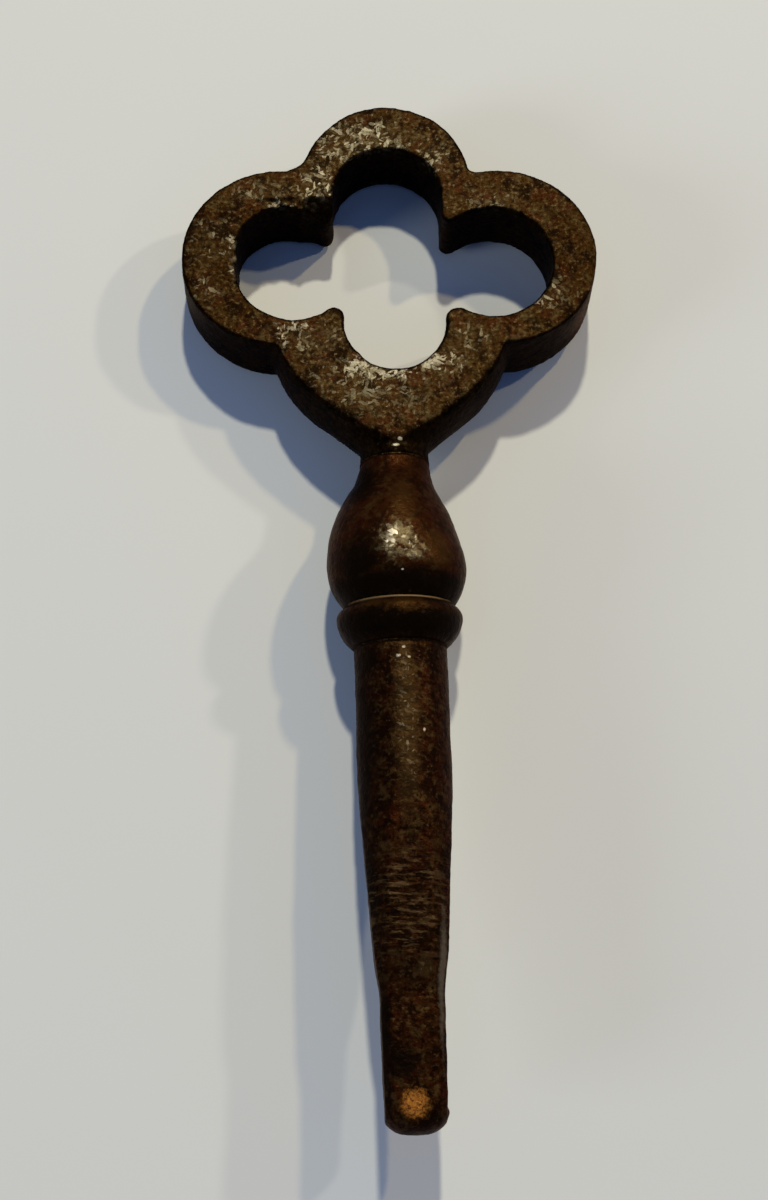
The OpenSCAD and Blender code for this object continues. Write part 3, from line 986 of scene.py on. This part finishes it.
collarSizes = {
    "footR": 3.3,
    "crestR": 4.35,
    "crest": 2.05,
    "topR": 3.8,
    "steps": (24, 16),  # below and above the crest
    "lean": 0.4,  # the collar and its seams sit askew, their front this much nearer the tip
    "leanStart": (28.5, 32),
    "leanStop": (39.5, 36),
    "waves": (2.0, 1, 0.10),
    "dents": (0.6, 2, 0.05),
}


def flank(endR, crestR, crestY, height, way, steps):  # rounded flank between an end and the crest
    drop = crestR - endR
    radius = (drop ** 2 + height ** 2) / (2 * drop)
    lean = math.degrees(math.asin(height / radius))
    start, end = (-lean, 0) if way > 0 else (0, lean)
    return arc((crestR - radius, crestY), radius, start, end, steps)


def leanSeams(piece, v):
    for side in (1, -1):
        pushPlaces(piece, "lean", "Y", -side * v["lean"], lambda p: (
            max(side * p.z / v["crestR"], 0) * fade(p.y, v["leanStart"]) * fade(p.y, v["leanStop"])
        ))


def makeBaluster(v):
    low, high = [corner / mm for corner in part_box("baluster")]
    length = high.y - low.y
    rise, drop = length - v["bellyHeight"], v["bellyR"] - v["neckR"]
    apart = (drop ** 2 + rise ** 2) / (2 * drop)  # between the centres of belly and neck curves
    neckCurveR = apart - v["curveR"]
    join = math.degrees(math.asin(rise / apart))
    footSteps, bellySteps, neckSteps = v["steps"]
    outline = [(boreR, 0)]
    outline += flank(v["footR"], v["bellyR"], v["bellyHeight"], v["bellyHeight"], 1, footSteps)
    outline += arc((v["bellyR"] - v["curveR"], v["bellyHeight"]), v["curveR"], 0, join, bellySteps)[1:]
    outline += arc((v["neckR"] + neckCurveR, length), neckCurveR, 180 + join, 180, neckSteps)[1:]
    outline += [(boreR, length)]
    baluster = lathe("baluster_turned", outline, low.y, turnSteps)
    pushPlaces(baluster, "flatSide", "X", -v["flatSide"], lambda p: (
        fade(p.x, v["flatAcross"]) * fade(p.y, v["flatStart"]) * fade(p.y, v["flatStop"])
    ))
    pushPlaces(baluster, "fullSide", "X", -v["fullSide"], lambda p: (
        fade(p.x, v["fullAcross"]) * fade(p.y, v["fullStart"]) * fade(p.y, v["fullStop"])
    ))
    leanSeams(baluster, collarSizes)
    roughen(baluster, "balusterWaves", v["waves"])
    roughen(baluster, "balusterDents", v["dents"])
    finishPiece(baluster, "baluster", turnedIron)


def makeCollar(v):
    low, high = [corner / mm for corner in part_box("collar")]
    length = high.y - low.y
    lowSteps, highSteps = v["steps"]
    outline = [(boreR, 0)]
    outline += flank(v["footR"], v["crestR"], v["crest"], v["crest"], 1, lowSteps)
    outline += flank(v["topR"], v["crestR"], v["crest"], length - v["crest"], -1, highSteps)[1:]
    outline += [(boreR, length)]
    collar = lathe("collar_turned", outline, low.y, turnSteps)
    leanSeams(collar, v)
    roughen(collar, "collarWaves", v["waves"])
    roughen(collar, "collarDents", v["dents"])
    finishPiece(collar, "collar", turnedIron)


brazeSizes = {
    "neck_braze": -0.04,  # the rim stands this much out of the seam
    "upper_collar_braze": 0.04,
    "lower_collar_braze": -0.02,
    "rimTurn": 120,
    "ripple": (0.8, 1, 0.04),
}


def makeBraze(v, node):  # ring with a rounded rim
    low, high = [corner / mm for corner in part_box(node)]
    half = (high.y - low.y) / 2
    bead = half + v[node]
    outline = [(boreR, 0), (high.x - bead, 0)]
    outline += arc((high.x - half, half), bead, -v["rimTurn"], v["rimTurn"], filletSteps)
    outline += [(high.x - bead, 2 * half), (boreR, 2 * half)]
    ring = lathe(node + "_ring", outline, low.y, turnSteps)
    leanSeams(ring, collarSizes)
    roughen(ring, node + "Ripple", v["ripple"])
    finishPiece(ring, node, tarnishedSpelter)


makeBaluster(balusterSizes)
makeCollar(collarSizes)
for seam in ("neck_braze", "upper_collar_braze", "lower_collar_braze"):
    makeBraze(brazeSizes, seam)


# The shank: a round bar with four filed flats

shankSizes = {
    "squareHalf": 2.0,
    "rootHalf": 2.1,
    "squareLength": 8.9,
    "shoulderHalf": 2.45,
    "shoulderY": 11.4,
    "cornerStand": 0.45,
    "cornerStart": 20,
    "flatEnd": 22.8,
    "tipRoundR": 2.0,
    "tipSteps": 20,
    "socket": 8.0,
    "voxel": 0.1,
    "wear": 9,
    "burr": (2.2, 1.3, 0.5),
    "burrReach": (0.5, 0.1),  # where the burr starts and where it is full, from its middle
    "burrStand": 0.16,
    "waves": (2.4, 1, 0.12),
    "dents": (0.6, 2, 0.06),
}


def makeShank(v):
    low, high = [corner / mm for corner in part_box("shank")]
    barR, length = high.x, high.y
    tipR = v["squareHalf"] + v["cornerStand"]
    domeX = tipR - v["tipRoundR"]
    outline = [(0, 0)] + arc((domeX, v["tipRoundR"]), v["tipRoundR"], -90, 0, v["tipSteps"])
    outline += [
        (v["rootHalf"] + v["cornerStand"], v["squareLength"]),
        (v["shoulderHalf"] + v["cornerStand"], v["shoulderY"]),
        (barR, v["cornerStart"]), (barR, length), (boreR, length), (boreR, length - v["socket"]),
        (0, length - v["socket"]),
    ]
    shank = lathe("shank_filed", outline, low.y, cutSteps)
    slope = (barR - v["shoulderHalf"]) / (v["flatEnd"] - v["shoulderY"])
    reach = barR + past
    flat = [
        (-past, v["squareHalf"]), (0, v["squareHalf"]), (v["squareLength"], v["rootHalf"]),
        (v["shoulderY"], v["shoulderHalf"]), (v["flatEnd"] + past, barR + slope * past),
        (v["flatEnd"] + past, reach), (-past, reach),
    ]
    cutter = prism("flatCutter", [(-reach, y, z) for y, z in flat], (2 * reach, 0, 0))
    for quarter in range(4):
        combine(shank, cutter, "DIFFERENCE", keepTool=True)
        pick(cutter)
        bpy.ops.transform.rotate(value=math.pi / 2, orient_axis="Y", center_override=(0, 0, 0))
        bpy.ops.object.transform_apply(location=True, rotation=True, scale=False)
    bpy.data.objects.remove(cutter)
    applyModifier(shank, "REMESH", mode="VOXEL", voxel_size=v["voxel"] * mm)
    wearDown(shank, v["wear"])
    leanSeams(shank, collarSizes)
    burr = Vector(v["burr"])
    pushPlaces(shank, "burr", "X", v["burrStand"], lambda p: fade((p - burr).length, v["burrReach"]))
    roughen(shank, "shankWaves", v["waves"])
    roughen(shank, "shankDents", v["dents"])
    finishPiece(shank, "shank", filedIron)


makeShank(shankSizes)

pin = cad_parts["core_pin"]
pin.data.materials.clear()
pin.data.materials.append(drawnSteel)
print("core pin keeps its solid")


# Stage: the paper that the key lies on, four soft lamps and the camera

stageSizes = {
    "paper": rgb(0.617, 0.614, 0.552),
    "paperRoughness": 0.9,
    "paperGloss": 0.1,
    "ambient": rgb(0.068, 0.118, 0.30),  # what lights the key
    "room": rgb(0.30, 0.305, 0.31),  # what the camera and the gloss see
    "floorR": 600,
    "floorSteps": 128,
    "rimWear": 0.3,  # worn edge of the bow's back
    "lampFar": 800,
    "lampAim": 0.6,  # share of the way from the tip to the middle of the bow
}

lamps = [  # name, degrees from +X, degrees up, light on the paper, size, shows in the gloss
    ("lampBehind", 86, 57, (0.52, 0.50, 0.42), 40, True),
    ("lampRight", 45, 47, (0.21, 0.17, 0.10), 40, True),
    ("lampLow", 22, 36, (0.11, 0.105, 0.09), 40, True),
    ("roomFill", 200, 22, (0.10, 0.115, 0.14), 300, False),
]

cameraView = {
    "eye": (-4.511, -9.841, 129.94),
    "target": (-1.029, 35.833, 0.0),
    "roll": 2.87,
    "lens": 59.86,
    "film": 36,
    "near": 5,
}


def restPlane(rim):  # where the key lies: on its belly, and on the bow's back at its top and left lobes
    left, leftR = Vector((-sideLobeOut, bowMiddleY)), bowSizes["sideLobeR"] - rim
    top, topR = Vector((0, bowMiddleY + bowSizes["topLobeOut"])), bowSizes["topLobeR"] - rim
    across = top - left
    turn = math.atan2(across.y, across.x) + math.acos((leftR - topR) / across.length)
    outward = Vector((math.cos(turn), math.sin(turn)))
    edge = outward.dot(left) + leftR
    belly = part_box("baluster")[0] / mm
    bellyY = belly.y + balusterSizes["bellyHeight"]
    slope = (bowLow.z - belly.z) / (edge - outward.y * bellyY)
    normal = Vector((-slope * outward.x, -slope * outward.y, 1)).normalized()
    return Vector((0, bellyY, belly.z)), normal


def makeFloor(v):
    point, normal = restPlane(v["rimWear"])
    deselectAll()
    bpy.ops.mesh.primitive_circle_add(
        vertices=v["floorSteps"], radius=v["floorR"] * mm, fill_type="NGON", location=point * mm
    )
    floor = bpy.context.object
    floor.name = "paperFloor"
    floor.rotation_mode = "QUATERNION"
    floor.rotation_quaternion = Vector((0, 0, 1)).rotation_difference(normal)
    material = bpy.data.materials.new("palePaper")
    material.use_nodes = True
    tree = material.node_tree
    shader = tree.nodes["Principled BSDF"]
    shader.inputs["Base Color"].default_value = v["paper"]
    shader.inputs["Roughness"].default_value = v["paperRoughness"]
    shader.inputs["Specular IOR Level"].default_value = v["paperGloss"]
    clear = addNode(tree, "BsdfTransparent", {})
    behind = tree.nodes.new("ShaderNodeNewGeometry").outputs["Backfacing"]
    mixed = addNode(tree, "MixShader", {0: behind, 1: shader.outputs[0], 2: clear.outputs[0]})
    tree.links.new(mixed.outputs[0], tree.nodes["Material Output"].inputs["Surface"])
    floor.data.materials.append(material)


def makeLamps(v):
    aim = Vector((0, bowMiddleY * v["lampAim"], 0)) * mm
    far = v["lampFar"] * mm
    for name, around, up, light, size, glossy in lamps:
        turn, climb = math.radians(around), math.radians(up)
        level = math.cos(climb)
        toLamp = Vector((math.cos(turn) * level, math.sin(turn) * level, math.sin(climb)))
        bpy.ops.object.light_add(type="AREA", location=aim + toLamp * far)
        lamp = bpy.context.object
        lamp.name = name
        lamp.rotation_mode = "QUATERNION"
        lamp.rotation_quaternion = (-toLamp).to_track_quat("-Z", "Y")
        lamp.data.shape = "DISK"
        lamp.data.size = size * mm
        lamp.data.color = [part / max(light) for part in light]
        lamp.data.energy = max(light) * math.pi ** 2 * far ** 2 / toLamp.z  # gives white paper this light
        lamp.visible_glossy = glossy
    world = bpy.data.worlds.new("softRoom")
    world.use_nodes = True
    tree = world.node_tree
    rays = tree.nodes.new("ShaderNodeLightPath").outputs
    seen = largest(tree, [rays["Is Camera Ray"], rays["Is Glossy Ray"], rays["Is Transmission Ray"]])
    feed(tree, tree.nodes["Background"].inputs["Color"], tint(tree, seen, v["ambient"], v["room"]))
    bpy.context.scene.world = world


def makeCamera(v):
    eye, target = Vector(v["eye"]) * mm, Vector(v["target"]) * mm
    bpy.ops.object.camera_add(location=eye)
    camera = bpy.context.object
    camera.rotation_mode = "QUATERNION"
    level = (target - eye).to_track_quat("-Z", "Y")
    camera.rotation_quaternion = level @ Quaternion((0, 0, 1), math.radians(v["roll"]))
    camera.data.lens = v["lens"]
    camera.data.sensor_width = v["film"]
    camera.data.clip_start = v["near"] * mm
    bpy.context.scene.camera = camera


makeFloor(stageSizes)
makeLamps(stageSizes)
makeCamera(cameraView)
bpy.context.scene.view_settings.view_transform = "Standard"
print("stage ready")

bpy.context.view_layer.update()
